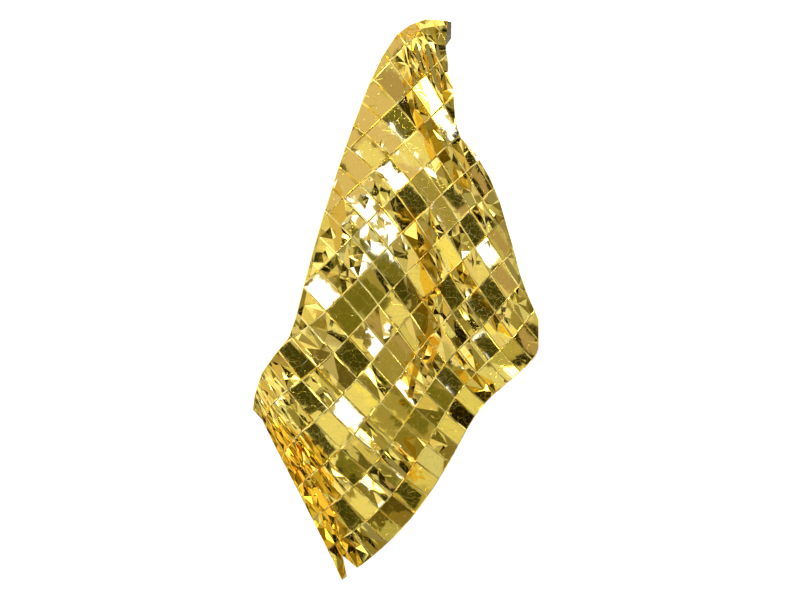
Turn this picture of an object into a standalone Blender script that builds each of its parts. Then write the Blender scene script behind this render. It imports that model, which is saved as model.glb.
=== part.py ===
"""Emergency foil blanket laid out on the floor: one sheet of metallised film, half of it turned under."""
import math

import bmesh
import bpy
import numpy as np
from mathutils import Vector

MM = 0.001
CELL_U = 0.0727  # width of one pressed cell, 22 across the 1.60 m sheet
CELL_V = 0.1167  # length of one pressed cell, 18 along the 2.10 m sheet
THICK = 1.2 * MM  # sheet of this solid; the film itself is far thinner
SHOWN_U = 24  # cells that can reach the upper side, gathered pleats of the hood included
SHOWN_V = 13
FLOOR_Z = 0.6 * MM  # mid surface of a layer lying on the floor
UNDER_Z = 3.0 * MM  # mid surface of the layer above it
FLAP_Z = 5.4 * MM  # mid surface of the narrow turned-in flap
EDGE_Z = 8.6 * MM  # upper layer where it starts to turn under
LIFT = 13 * MM  # how far the upper layer stands above its edge
FLAP_WIDE = 62 * MM  # of the flap turned in along the right outline
BACK_SHARE = 0.80  # share of the left outline, from its foot, where the sheet lies in three layers
NOTCH_AT = 0.67  # nick in the lower hem beside the corner, in cells
NOTCH_HALF = 0.34
NOTCH_DEEP = 0.6
SNAP = 4 * MM  # corners nearer to the outline than this are moved onto it
NEAR_CUT = 4 * MM  # corners nearer to a fold than this are left where they are
ON_LINE = 1.5 * MM  # an open edge this close to a line of the outline lies on it
SEED = 11

# how the upper layer comes down: distances over which it does so
LIFT_WIDE = 75 * MM  # from the turned outline
EASE_WIDE = 22 * MM  # the same for the relief of its cells and folds
HEM_WIDE = 110 * MM  # from the free hem
HEM_EASE = 90 * MM
MOUTH_WIDE = 50 * MM  # from the mouth of the hood
STEP_FROM = 12 * MM  # beyond the far edge of the layers beneath
STEP_WIDE = 34 * MM
FLAP_REACH = 80 * MM  # width along the right outline that lies over the flap
HEM_LEFT_OVER = 0.15  # share of the lift that is left at the free hem
MOUTH_LEFT_OVER = 0.30
EASE_LEFT_OVER = 0.35

# the pressed cells: heights of their crossings, their own tilts, and how far they are broken up
CROSS = 1.0 * MM
ALTERNATE = 0.5 * MM
TILT_U = 3.6 * MM
TILT_V = 5.2 * MM
PUFF = 1.6 * MM
RIDGE = 1.8 * MM
FAN_SHARE = 0.12
BUSY_SHARE = 0.55
OFF_CENTRE = (0.3, 0.7)  # range of the break points along a crease or across a cell

# pleats where the creases gather at the lower left: height, and where they end
GATHER = 4.0 * MM
GATHER_U = 5.5  # cells from the left hem
GATHER_V = (1.5, 2.5)  # cells above the lower hem where they start, and over how many they grow
GATHER_TOP = -0.10  # floor plan height, and the length over which they fade below it
GATHER_FADE = 0.20

# long creases, every fourth of them: where each meets the lower hem, the way it
# runs there, half way and at its far end (degrees), and its cell length at both ends
PLAN_LENGTH = 12  # cells from the lower hem to the far ends
PLAN_STEPS = 24
CREASE_COLUMNS = ("cell", "hem_x", "hem_y", "way_hem", "way_mid", "way_far", "len_hem", "len_far")
CREASES = (
    (0, -0.178, -0.925, 114, 114, 89, 0.112, 0.109),
    (4, 0.021, -0.754, 139, 121, 74, 0.098, 0.199),
    (8, 0.177, -0.534, 143, 132, 137, 0.093, 0.151),
    (12, 0.294, -0.342, 140, 128, 181, 0.090, 0.126),
    (16, 0.450, -0.197, 134, 124, 172, 0.098, 0.112),
    (20, 0.592, -0.008, 135, 120, 130, 0.083, 0.128),
    (24, 0.787, 0.105, 168, 112, 142, 0.087, 0.143),
)

# outline where the sheet turns under, from the lower left up to the crown
LEFT_FOLD = (
    (-0.470, -0.363),
    (-0.464, -0.317),
    (-0.441, -0.244),
    (-0.398, -0.182),
    (-0.351, -0.125),
    (-0.328, -0.059),
    (-0.305, 0.033),
    (-0.266, 0.178),
    (-0.233, 0.290),
    (-0.190, 0.429),
    (-0.144, 0.561),
    (-0.091, 0.700),
    (-0.045, 0.799),
    (0.002, 0.871),
    (0.045, 0.904),
    (0.101, 0.924),
    (0.172, 0.919),
)
# free edge of the hood
MOUTH = (
    (0.172, 0.919),
    (0.167, 0.865),
    (0.165, 0.825),
    (0.172, 0.785),
    (0.172, 0.742),
    (0.186, 0.706),
)
# outline where the right side turns under, from the hood down to the lower hem
RIGHT_FOLD = (
    (0.186, 0.706),
    (0.196, 0.587),
    (0.213, 0.535),
    (0.262, 0.482),
    (0.309, 0.403),
    (0.342, 0.323),
    (0.365, 0.244),
    (0.388, 0.165),
    (0.408, 0.086),
    (0.427, 0.033),
    (0.450, -0.020),
    (0.470, -0.066),
    (0.470, -0.158),
)
# far edge of the lower layers, bottom to top, inside the outline
INNER_EDGE = (
    (-0.120, -0.745),
    (-0.020, -0.715),
    (0.080, -0.590),
    (0.160, -0.440),
    (0.225, -0.310),
    (0.330, -0.200),
    (0.395, -0.110),
    (0.375, 0.030),
    (0.335, 0.175),
    (0.285, 0.315),
    (0.225, 0.425),
    (0.165, 0.510),
    (0.145, 0.610),
    (0.135, 0.700),
    (0.130, 0.790),
    (0.183, 0.863),
    (0.184, 0.917),
)

# main folds: from, to, half width and height of each, ridge positive, trough negative
FOLDS = (
    (-0.010, 0.800, -0.120, 0.560, 0.050, 0.009),
    (-0.120, 0.560, -0.250, 0.260, 0.055, 0.007),
    (-0.020, 0.500, -0.060, 0.330, 0.022, -0.011),
    (-0.060, 0.330, 0.005, 0.120, 0.024, -0.009),
    (0.030, 0.780, 0.080, 0.610, 0.026, 0.013),
    (0.080, 0.610, 0.170, 0.390, 0.026, 0.012),
    (0.100, 0.330, 0.135, 0.230, 0.014, -0.010),
    (0.120, 0.260, 0.160, 0.150, 0.012, -0.011),
    (0.150, 0.200, 0.150, 0.080, 0.012, -0.009),
    (0.135, 0.130, 0.172, 0.020, 0.013, -0.011),
    (0.165, 0.060, 0.140, -0.060, 0.012, -0.011),
    (0.125, 0.000, 0.125, -0.110, 0.012, -0.009),
    (0.132, -0.080, 0.090, -0.190, 0.013, -0.011),
    (0.095, -0.150, 0.060, -0.300, 0.012, -0.010),
    (0.215, 0.500, 0.340, 0.220, 0.030, 0.009),
    (0.245, 0.280, 0.405, 0.010, 0.034, 0.008),
    (0.090, 0.290, 0.200, 0.030, 0.034, 0.007),
    (-0.220, -0.090, -0.150, 0.230, 0.060, 0.005),
    (-0.410, -0.250, 0.020, -0.690, 0.022, 0.009),
    (-0.330, -0.170, 0.110, -0.620, 0.020, 0.006),
    (-0.220, -0.320, 0.130, -0.660, 0.018, 0.008),
    (-0.120, -0.180, 0.150, -0.520, 0.020, 0.005),
    (0.000, -0.040, 0.240, -0.390, 0.022, 0.005),
    (0.110, 0.000, 0.350, -0.310, 0.022, 0.008),
    (0.210, -0.010, 0.410, -0.250, 0.020, 0.007),
    (-0.440, -0.300, -0.170, -0.760, 0.020, 0.009),
    (-0.440, -0.360, -0.290, -0.600, 0.016, 0.008),
    (-0.400, -0.330, -0.060, -0.770, 0.020, 0.009),
    (0.020, 0.860, 0.060, 0.700, 0.009, 0.009),
    (0.050, 0.865, 0.105, 0.670, 0.009, 0.010),
    (0.085, 0.860, 0.140, 0.670, 0.010, 0.010),
    (0.125, 0.840, 0.155, 0.700, 0.009, 0.009),
    (0.060, 0.770, 0.160, 0.640, 0.011, 0.009),
    (0.010, 0.880, 0.160, 0.905, 0.024, 0.009),
)
EASY_SIDE = 1.6  # the gentler side of a fold is this much wider than its steep side
FOLD_OVER = 0.10  # a fold runs out this share of its length past both ends
FOLD_FADE = 0.22  # and fades in over this share of it

# quiet areas, where the film is drawn smooth: middle, radius, share of the cells' relief left
CALMS = (
    (-0.015, 0.790, 0.080, 0.18),
    (-0.060, 0.660, 0.090, 0.08),
    (-0.110, 0.530, 0.095, 0.07),
    (-0.160, 0.400, 0.085, 0.10),
    (-0.205, 0.290, 0.060, 0.20),
    (0.090, 0.780, 0.070, 0.45),
    (0.205, 0.500, 0.025, 0.30),
    (0.290, 0.360, 0.028, 0.30),
    (0.355, 0.220, 0.028, 0.30),
    (0.405, 0.080, 0.028, 0.30),
)
# areas where most cells are broken into a fan of facets: middle and radius
BUSY = (
    (-0.340, -0.560, 0.150),
    (-0.230, -0.780, 0.120),
    (0.270, 0.200, 0.190),
    (-0.170, 0.200, 0.170),
)


def column(name):
    """One column of the table of long creases."""
    n = CREASE_COLUMNS.index(name)
    return np.array([row[n] for row in CREASES], dtype=float)


def spline(knots, values, at):
    """Natural cubic curve through a few table rows."""
    count = len(knots)
    gaps = np.diff(knots)
    system = np.eye(count)
    rhs = np.zeros(count)
    for i in range(1, count - 1):
        system[i, i - 1 : i + 2] = gaps[i - 1], 2 * (gaps[i - 1] + gaps[i]), gaps[i]
        rhs[i] = 6 * ((values[i + 1] - values[i]) / gaps[i] - (values[i] - values[i - 1]) / gaps[i - 1])
    bend = np.linalg.solve(system, rhs)
    i = np.clip(np.searchsorted(knots, at) - 1, 0, count - 2)
    gap = gaps[i]
    a = (knots[i + 1] - at) / gap
    b = 1 - a
    curve = (a**3 - a) * bend[i] + (b**3 - b) * bend[i + 1]
    return a * values[i] + b * values[i + 1] + curve * gap**2 / 6


def crease_plan(u, v):
    """Where the sheet's own cell numbers u, v come to lie on the floor plan."""
    knots = column("cell")
    x, y, hem, mid, far, near_len, far_len = (spline(knots, column(name), u) for name in CREASE_COLUMNS[1:])
    for k in range(PLAN_STEPS):
        s = v * (k + 0.5) / PLAN_STEPS / PLAN_LENGTH
        way = hem * (1 - s) * (1 - 2 * s) + mid * 4 * s * (1 - s) + far * s * (2 * s - 1)
        pace = (near_len + (far_len - near_len) * s) * v / PLAN_STEPS
        x = x + pace * np.cos(np.radians(way))
        y = y + pace * np.sin(np.radians(way))
    return x, y


def nearest(line, x, y):
    """Distance to a polyline, the closest point on it and how far along it that is (0 to 1)."""
    line = np.array(line)
    legs = np.diff(line, axis=0)
    sizes = np.hypot(legs[:, 0], legs[:, 1])
    starts = np.concatenate([[0], np.cumsum(sizes)])
    best = np.full(np.shape(x), 1e9)
    px, py, along = np.zeros_like(best), np.zeros_like(best), np.zeros_like(best)
    for a, leg, size, start in zip(line[:-1], legs, sizes, starts):
        t = np.clip(((x - a[0]) * leg[0] + (y - a[1]) * leg[1]) / size**2, 0, 1)
        qx, qy = a[0] + t * leg[0], a[1] + t * leg[1]
        far = np.hypot(x - qx, y - qy)
        closer = far < best
        best = np.where(closer, far, best)
        px, py = np.where(closer, qx, px), np.where(closer, qy, py)
        along = np.where(closer, (start + t * size) / starts[-1], along)
    return best, px, py, along


def inside(line, x, y):
    """Whether points are within a closed outline."""
    odd = np.zeros(np.shape(x), dtype=bool)
    ends = np.roll(np.array(line), -1, axis=0)
    for (ax, ay), (bx, by) in zip(line, ends):
        if ay == by:
            continue
        crosses = (ay > y) != (by > y)
        odd ^= crosses & (x < ax + (y - ay) * (bx - ax) / (by - ay))
    return odd


def along_line(line, share):
    """Point at a share of a polyline's length."""
    line = np.array(line)
    sizes = np.hypot(*np.diff(line, axis=0).T)
    starts = np.concatenate([[0], np.cumsum(sizes)]) / sizes.sum()
    return np.interp(share, starts, line[:, 0]), np.interp(share, starts, line[:, 1])


def smooth(t):
    t = np.clip(t, 0, 1)
    return t * t * (3 - 2 * t)


TURNED = LEFT_FOLD + MOUTH[1:] + RIGHT_FOLD[1:]
KEEP = TURNED + ((0.470, -0.260), (0.900, -0.300), (0.900, -1.500), (-0.900, -1.500), (-0.560, -0.395))
FOOTPRINT = LEFT_FOLD + INNER_EDGE[::-1]
HEM_LOW = tuple(zip(*crease_plan(np.arange(0, 18.1), np.zeros(19))))
HEM_LEFT = tuple(zip(*crease_plan(np.zeros(7), np.arange(0, 6.1))))
CORNERS = (LEFT_FOLD[-1], MOUTH[1], MOUTH[-1], RIGHT_FOLD[-2], LEFT_FOLD[0])


def cell_net():
    """Heights of the pressed cells: at the crossings, half way along the creases and inside each cell."""
    draw = np.random.RandomState(SEED)
    shape = (SHOWN_U + 3, SHOWN_V + 3)
    cross = draw.uniform(-1, 1, shape) * CROSS
    cross += ALTERNATE * (-1) ** np.add.outer(*map(np.arange, shape))
    tilt_u, tilt_v = draw.normal(0, TILT_U, shape), draw.normal(0, TILT_V, shape)
    inner = {}
    for a in (0, 1):
        for b in (0, 1):
            near = np.roll(cross, (-a, -b), axis=(0, 1))
            inner[a, b] = near + (a - 0.5) * tilt_u + (b - 0.5) * tilt_v
    low_at, left_at = draw.uniform(*OFF_CENTRE, shape), draw.uniform(*OFF_CENTRE, shape)
    high_at, right_at = np.roll(low_at, -1, axis=1), np.roll(left_at, -1, axis=0)
    mid_x, mid_y = crease_plan(*(np.indices(shape) + 0.5))
    busy = np.zeros(shape, dtype=bool)
    for x, y, radius in BUSY:
        busy |= np.hypot(mid_x - x, mid_y - y) < radius
    fan = draw.uniform(0, 1, shape) < np.where(busy, BUSY_SHARE, FAN_SHARE)
    rough = np.where(fan, PUFF, 0) * np.where(busy, 2.0, 1.0)
    low = inner[0, 0] + (inner[1, 0] - inner[0, 0]) * low_at
    high = inner[0, 1] + (inner[1, 1] - inner[0, 1]) * high_at
    left = inner[0, 0] + (inner[0, 1] - inner[0, 0]) * left_at
    right = inner[1, 0] + (inner[1, 1] - inner[1, 0]) * right_at
    low, high, left, right = (z + draw.uniform(-1, 1, shape) * rough for z in (low, high, left, right))
    centre_at = draw.uniform(*OFF_CENTRE, shape)
    falling = draw.uniform(0, 1, shape) < 0.5
    rising = inner[0, 0] + (inner[1, 1] - inner[0, 0]) * centre_at
    slanting = inner[0, 1] + (inner[1, 0] - inner[0, 1]) * centre_at
    centre_z = np.where(falling, slanting, rising) + draw.uniform(-0.6, 1.4, shape) * rough
    crest = sum(np.roll(inner[a, b], (a, b), axis=(0, 1)) for a in (0, 1) for b in (0, 1)) / 4
    crest = crest + draw.uniform(0, 1, shape) * RIDGE
    low_z = (low + np.roll(high, 1, axis=1)) / 2 + draw.uniform(-0.5, 1, shape) * RIDGE
    left_z = (left + np.roll(right, 1, axis=0)) / 2 + draw.uniform(-0.5, 1, shape) * RIDGE
    return {
        "crest": crest,
        "low_at": low_at,
        "low_z": low_z,
        "left_at": left_at,
        "left_z": left_z,
        "centre_u": centre_at,
        "centre_v": np.where(falling, 1 - centre_at, centre_at),
        "centre_z": centre_z,
    }


def cell_relief(u, v, net):
    """Height of the facets of each cell: a fan round a point inside it, its creases broken once."""
    i = np.clip(np.floor(u + 1e-6).astype(int), 0, SHOWN_U)
    j = np.clip(np.floor(v + 1e-6).astype(int), 0, SHOWN_V)
    fu, fv = u - i, v - j
    crest, low_z, left_z = net["crest"], net["low_z"], net["left_z"]
    low_at, high_at = net["low_at"][i, j], net["low_at"][i, j + 1]
    left_at, right_at = net["left_at"][i, j], net["left_at"][i + 1, j]
    cu, cv, cz = net["centre_u"][i, j], net["centre_v"][i, j], net["centre_z"][i, j]
    none, full = np.zeros_like(fu), np.ones_like(fu)
    ring = (
        (none, none, crest[i, j]),
        (low_at, none, low_z[i, j]),
        (full, none, crest[i + 1, j]),
        (full, right_at, left_z[i + 1, j]),
        (full, full, crest[i + 1, j + 1]),
        (high_at, full, low_z[i, j + 1]),
        (none, full, crest[i, j + 1]),
        (none, left_at, left_z[i, j]),
    )
    height = np.zeros_like(fu)
    for k, (au, av, az) in enumerate(ring):
        bu, bv, bz = ring[(k + 1) % 8]
        whole = (au - cu) * (bv - cv) - (bu - cu) * (av - cv)
        share_a = ((fu - cu) * (bv - cv) - (bu - cu) * (fv - cv)) / whole
        share_b = ((au - cu) * (fv - cv) - (fu - cu) * (av - cv)) / whole
        here = (share_a >= -1e-6) & (share_b >= -1e-6)
        height = np.where(here, cz + share_a * (az - cz) + share_b * (bz - cz), height)
    return height


def calm_share(x, y):
    """How much of the cells' relief is left in the quiet areas."""
    share = np.ones_like(x)
    for cx, cy, radius, left in CALMS:
        near = smooth(1.5 - np.hypot(x - cx, y - cy) / radius)
        share = np.minimum(share, 1 - (1 - left) * near)
    return share


def pleat_relief(u, v, y):
    """Pleats on the gathered side, up on the creases and down between them."""
    wave = 4 * np.abs(u - np.floor(u) - 0.5) - 1
    start, grown = GATHER_V
    share = smooth(1 - u / GATHER_U) * smooth((v - start) / grown) * smooth((GATHER_TOP - y) / GATHER_FADE)
    return GATHER * wave * share


def fold_relief(x, y):
    """Main ridges and troughs, each with a steep and an easy side."""
    z = np.zeros_like(x)
    for x0, y0, x1, y1, half, height in FOLDS:
        dx, dy = x1 - x0, y1 - y0
        size = np.hypot(dx, dy)
        t = ((x - x0) * dx + (y - y0) * dy) / size**2
        off = ((x - x0) * dy - (y - y0) * dx) / size
        width = np.where(off > 0, half, half * EASY_SIDE)
        crest = np.clip(1 - np.abs(off) / width, 0, 1)
        ends = smooth((t + FOLD_OVER) / FOLD_FADE) * smooth((1 + FOLD_OVER - t) / FOLD_FADE)
        z = z + height * crest * ends
    return z


def upper_height(u, v, x, y, net):
    """Height of the upper layer over the floor."""
    right, _, _, _ = nearest(RIGHT_FOLD, x, y)
    turn = np.minimum(nearest(LEFT_FOLD, x, y)[0], right)
    mouth, _, _, _ = nearest(MOUTH, x, y)
    hem = np.minimum(nearest(HEM_LOW, x, y)[0], nearest(HEM_LEFT, x, y)[0])
    beyond = np.where(inside(FOOTPRINT, x, y), 0, nearest(LEFT_FOLD[:1] + INNER_EDGE, x, y)[0])
    beyond = np.where((right < FLAP_REACH) | (turn < SNAP), 0, beyond)
    over = 1 - smooth((beyond - STEP_FROM) / STEP_WIDE)
    ground = FLOOR_Z + (EDGE_Z - FLOOR_Z) * over
    lift = LIFT * smooth(turn / LIFT_WIDE) * smooth(HEM_LEFT_OVER + hem / HEM_WIDE)
    lift = lift * smooth(MOUTH_LEFT_OVER + mouth / MOUTH_WIDE)
    ease = smooth(turn / EASE_WIDE) * smooth(EASE_LEFT_OVER + hem / HEM_EASE)
    relief = fold_relief(x, y) + cell_relief(u, v, net) * calm_share(x, y) + pleat_relief(u, v, y)
    return np.maximum(ground + lift + relief * ease, ground)


def clear_scene():
    for item in list(bpy.data.objects):
        bpy.data.objects.remove(item, do_unlink=True)


def break_cells(work, net):
    """Split each cell into its fan of facets, with off-centre points, and cut the nick's edges in."""
    bmesh.ops.subdivide_edges(work, edges=work.edges, cuts=1, use_grid_fill=True)
    centres = []
    for p in work.verts:
        i, j = math.floor(p.co.x + 0.25), math.floor(p.co.y + 0.25)
        half_u, half_v = p.co.x - i > 0.25, p.co.y - j > 0.25
        if half_u and half_v:
            centres.append(p)
            p.co.x, p.co.y = i + net["centre_u"][i, j], j + net["centre_v"][i, j]
        elif half_u:
            p.co.x = i + net["low_at"][i, j]
        elif half_v:
            p.co.y = j + net["left_at"][i, j]
    for centre in centres:
        for face in list(centre.link_faces):
            around = list(face.verts)
            corner = around[(around.index(centre) + 2) % 4]
            bmesh.utils.face_split(face, centre, corner)
    for cut in (NOTCH_AT - NOTCH_HALF, NOTCH_AT):
        first = [f for f in work.faces if f.calc_center_median().x < 1 and f.calc_center_median().y < 1]
        cut_along(work, first, Vector((cut, 0, 0)), Vector((1, 0, 0)))


def cut_along(work, faces, place, across):
    """Cut some faces where a plane crosses them."""
    edges = {e for f in faces for e in f.edges}
    points = {p for f in faces for p in f.verts}
    bmesh.ops.bisect_plane(work, geom=[*faces, *edges, *points], dist=NEAR_CUT, plane_co=place, plane_no=across)


def cut_folds(work):
    """Cut the facets along the crest and both feet of each main fold."""
    for x0, y0, x1, y1, half, _ in FOLDS:
        start = Vector((x0, y0, 0))
        way = Vector((x1, y1, 0)) - start
        across = Vector((way.y, -way.x, 0)).normalized()
        for off in (0, half, -EASY_SIDE * half):
            place = start + across * off
            near = []
            for face in work.faces:
                reach = face.calc_center_median() - place
                along = reach.dot(way) / way.length_squared
                if -FOLD_OVER < along < 1 + FOLD_OVER and abs(reach.dot(across)) < CELL_V:
                    near.append(face)
            cut_along(work, near, place, across)


def fold_sheet(mesh):
    """Break the cells up, trim them to the folded outline and turn the rest under."""
    net = cell_net()
    work = bmesh.new()
    work.from_mesh(mesh)
    break_cells(work, net)
    u_layer = work.verts.layers.float.new("cell_u")
    v_layer = work.verts.layers.float.new("cell_v")
    u, v = (np.array([p.co[k] for p in work.verts]) for k in (0, 1))
    notch = NOTCH_DEEP * np.clip(1 - np.abs(u - NOTCH_AT) / NOTCH_HALF, 0, 1) * np.clip(1 - v, 0, 1)
    x, y = crease_plan(u, v + notch)
    for k, p in enumerate(work.verts):
        p[u_layer], p[v_layer] = u[k], v[k]
        p.co = x[k], y[k], 0
    cut_folds(work)
    trim(work)
    bmesh.ops.triangulate(work, faces=work.faces)
    verts = list(work.verts)
    x, y = (np.array([p.co[k] for p in verts]) for k in (0, 1))
    u, v = (np.array([p[layer] for p in verts]) for layer in (u_layer, v_layer))
    for p, z in zip(verts, upper_height(u, v, x, y, net)):
        p.co.z = z
    turn_left(work)
    turn_right(work)
    bmesh.ops.recalc_face_normals(work, faces=work.faces)
    if sum(f.normal.z for f in work.faces if f.calc_center_median().z > EDGE_Z) < 0:
        bmesh.ops.reverse_faces(work, faces=work.faces)
    for axis in (0, 1):
        spread = [p.co[axis] for p in work.verts]
        middle = (min(spread) + max(spread)) / 2
        for p in work.verts:
            p.co[axis] -= middle
    work.to_mesh(mesh)
    work.free()


def outline_gap(x, y):
    """Signed distance to the trimming outline, positive within, and the closest point."""
    far, px, py, _ = nearest(TURNED + KEEP[len(TURNED) :] + KEEP[:1], x, y)
    return np.where(inside(KEEP, x, y), far, -far), px, py


def trim(work):
    """Cut the cells along the outline where the sheet turns under."""
    verts = list(work.verts)
    x, y = (np.array([p.co[k] for p in verts]) for k in (0, 1))
    gap, px, py = outline_gap(x, y)
    for cx, cy in CORNERS:
        k = int(np.argmin(np.hypot(x - cx, y - cy)))
        x[k], y[k], px[k], py[k], gap[k] = cx, cy, cx, cy, 0
    size = {}
    near = np.abs(gap) < SNAP
    for k, p in enumerate(verts):
        if near[k]:
            p.co = px[k], py[k], 0
        size[p] = 0.0 if near[k] else float(gap[k])
    for edge in list(work.edges):
        a, b = edge.verts
        if size[a] * size[b] < 0:
            _, fresh = bmesh.utils.edge_split(edge, a, size[a] / (size[a] - size[b]))
            size[fresh] = 0.0
            _, fx, fy = outline_gap(np.array([fresh.co.x]), np.array([fresh.co.y]))
            fresh.co = fx[0], fy[0], 0
    for face in list(work.faces):
        signs = [size[p] for p in face.verts]
        if min(signs) < 0 < max(signs):
            cut = [p for p in face.verts if size[p] == 0]
            if len(cut) >= 2:
                bmesh.utils.face_split(face, cut[0], cut[-1])
    gone = []
    for face in work.faces:
        signs = [size[p] for p in face.verts]
        middle = face.calc_center_median()
        if min(signs) < 0 or not inside(KEEP, np.array([middle.x]), np.array([middle.y]))[0]:
            gone.append(face)
    bmesh.ops.delete(work, geom=gone, context="FACES")


def edge_run(work, line):
    """Open edges that lie on a line."""
    found = []
    for edge in work.edges:
        if edge.is_boundary:
            x, y = (np.array([p.co[k] for p in edge.verts]) for k in (0, 1))
            if nearest(line, x, y)[0].max() < ON_LINE:
                found.append(edge)
    return found


def grow(work, run, shares, place):
    """One more row of a turned-under layer, each column keeping its share of the outline."""
    ends = {p.co.copy().freeze(): share for p, share in shares.items()}
    fresh = {}
    grown = bmesh.ops.extrude_edge_only(work, edges=run)["geom"]
    for p in grown:
        if isinstance(p, bmesh.types.BMVert):
            fresh[p] = ends[p.co.copy().freeze()]
            p.co = place(fresh[p])
    return [e for e in grown if isinstance(e, bmesh.types.BMEdge)], fresh


def shares_of(edges, line):
    """How far along a line each corner of a run of edges is."""
    corners = list({p for e in edges for p in e.verts})
    x, y = (np.array([p.co[k] for p in corners]) for k in (0, 1))
    return dict(zip(corners, nearest(line, x, y)[3]))


def under_place(t, z, out=0.0):
    """Places on the layer under the sheet, a share t of the way from the left outline to its far edge."""

    def place(share):
        lx, ly = along_line(LEFT_FOLD, share)
        rx, ry = along_line(INNER_EDGE, share)
        size = np.hypot(rx - lx, ry - ly)
        reach = t * size - out
        return lx + (rx - lx) / size * reach, ly + (ry - ly) / size * reach, z

    return place


def turn_left(work):
    """Turn the sheet under along the left outline, across to the inner edge and back again."""
    edges = edge_run(work, LEFT_FOLD)
    shares = shares_of(edges, LEFT_FOLD)
    bend = ((EDGE_Z - 0.9 * MM, 2.0 * MM), ((EDGE_Z + UNDER_Z) / 2, 2.8 * MM), (UNDER_Z + 0.9 * MM, 2.0 * MM))
    for z, out in bend:
        edges, shares = grow(work, edges, shares, under_place(0, z, out))
    for t in (0.0, 0.35, 0.7, 1.0):
        edges, shares = grow(work, edges, shares, under_place(t, UNDER_Z))
    edges = [e for e in edges if all(shares[p] < BACK_SHARE for p in e.verts)]
    shares = {p: shares[p] for e in edges for p in e.verts}
    for z in (UNDER_Z - 0.35 * MM, FLOOR_Z + 0.35 * MM):
        edges, shares = grow(work, edges, shares, under_place(1, z, -1.1 * MM))
    for t in (1.0, 0.55, 0.07):
        edges, shares = grow(work, edges, shares, under_place(t, FLOOR_Z))


def turn_right(work):
    """Turn a narrow flap under along the right outline."""
    edges = edge_run(work, RIGHT_FOLD)
    shares = shares_of(edges, RIGHT_FOLD)

    def flap_place(inward, z):
        def place(share):
            x, y = along_line(RIGHT_FOLD, share)
            return x - inward, y, z

        return place

    rows = (
        (-1.1 * MM, EDGE_Z - 0.5 * MM),
        (-1.6 * MM, (EDGE_Z + FLAP_Z) / 2),
        (-1.1 * MM, FLAP_Z + 0.5 * MM),
        (0.0, FLAP_Z),
        (FLAP_WIDE, FLAP_Z),
    )
    for inward, z in rows:
        edges, shares = grow(work, edges, shares, flap_place(inward, z))


def build_blanket(home):
    bpy.ops.mesh.primitive_grid_add(
        x_subdivisions=SHOWN_U, y_subdivisions=SHOWN_V, size=1, location=(0, 0, 0)
    )
    sheet = bpy.context.object
    sheet.name = "blanket"
    sheet.data.name = "blanket"
    for p in sheet.data.vertices:
        p.co.x = (p.co.x + 0.5) * SHOWN_U
        p.co.y = (p.co.y + 0.5) * SHOWN_V
    fold_sheet(sheet.data)
    wall = sheet.modifiers.new("film", "SOLIDIFY")
    wall.thickness = THICK
    wall.offset = 0
    for owner in list(sheet.users_collection):
        owner.objects.unlink(sheet)
    home.objects.link(sheet)
    foil = bpy.data.materials.new("gold_foil")
    foil.use_nodes = True
    shader = foil.node_tree.nodes["Principled BSDF"]
    shader.inputs["Base Color"].default_value = (0.83, 0.62, 0.17, 1)
    shader.inputs["Metallic"].default_value = 1.0
    shader.inputs["Roughness"].default_value = 0.2
    sheet.data.materials.append(foil)
    return sheet


clear_scene()
collection = bpy.data.collections.new("emergency_foil_blanket")
bpy.context.scene.collection.children.link(collection)
build_blanket(collection)
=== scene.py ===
import math

import bmesh
import bpy
import numpy as np
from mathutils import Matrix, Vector
from mathutils.geometry import delaunay_2d_cdt


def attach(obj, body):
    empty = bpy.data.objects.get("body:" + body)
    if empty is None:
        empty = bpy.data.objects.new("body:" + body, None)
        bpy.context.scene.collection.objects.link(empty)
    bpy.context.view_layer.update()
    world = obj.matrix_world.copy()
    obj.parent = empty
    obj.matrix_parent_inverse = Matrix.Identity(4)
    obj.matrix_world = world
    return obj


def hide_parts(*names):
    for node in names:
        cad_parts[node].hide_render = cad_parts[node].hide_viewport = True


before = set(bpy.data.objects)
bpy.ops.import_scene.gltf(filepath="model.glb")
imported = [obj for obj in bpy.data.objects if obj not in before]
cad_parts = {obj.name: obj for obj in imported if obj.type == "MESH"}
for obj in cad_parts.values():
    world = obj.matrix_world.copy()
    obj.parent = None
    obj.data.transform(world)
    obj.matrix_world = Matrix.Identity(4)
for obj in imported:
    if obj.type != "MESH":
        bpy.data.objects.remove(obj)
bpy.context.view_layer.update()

# the blanket, as it lies: sizes in metres, places on the floor plan from the middle of the sheet's own map
blanket = {
    "flatWidth": 1.60,  # the whole sheet, unfolded
    "flatLength": 2.10,
    "cellU": 0.0727,  # one pressed cell
    "cellV": 0.1167,
    "shownU": 24,  # cells worked out, each way; the last of them lie past the outline
    "shownV": 13,
    "hemEnd": 18,  # cells along the low hem, and up the left one
    "leftEnd": 6,
    "film": 0.0003,
    "floorZ": 0.0002,  # levels of the layers, from the floor up
    "underZ": 0.0030,
    "flapZ": 0.0054,
    "edgeZ": 0.0086,
    "lift": 0.013,  # how far the upper layer stands off them
    "notchAt": 0.67,  # the nick in the low hem, in cells
    "notchHalf": 0.34,
    "notchDeep": 0.6,
    "outlineStep": 0.012,
    "weld": 0.0008,
    "seed": 11,
}
# how the upper layer comes down to its edges: how wide each slope is, and what is left of it at the edge
slopes = {
    "turnLift": 0.075,
    "turnRelief": 0.022,
    "hemLift": 0.11,
    "hemLiftLeft": 0.15,
    "hemRelief": 0.09,
    "hemReliefLeft": 0.35,
    "hemCrumple": 0.13,
    "hemCrumpleLeft": 0.15,
    "mouthLift": 0.05,
    "mouthLiftLeft": 0.3,
    "overFrom": 0.008,  # down from the lower layers to the floor
    "over": 0.055,
    "onFlap": 0.080,
    "onTurn": 0.004,
}

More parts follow.
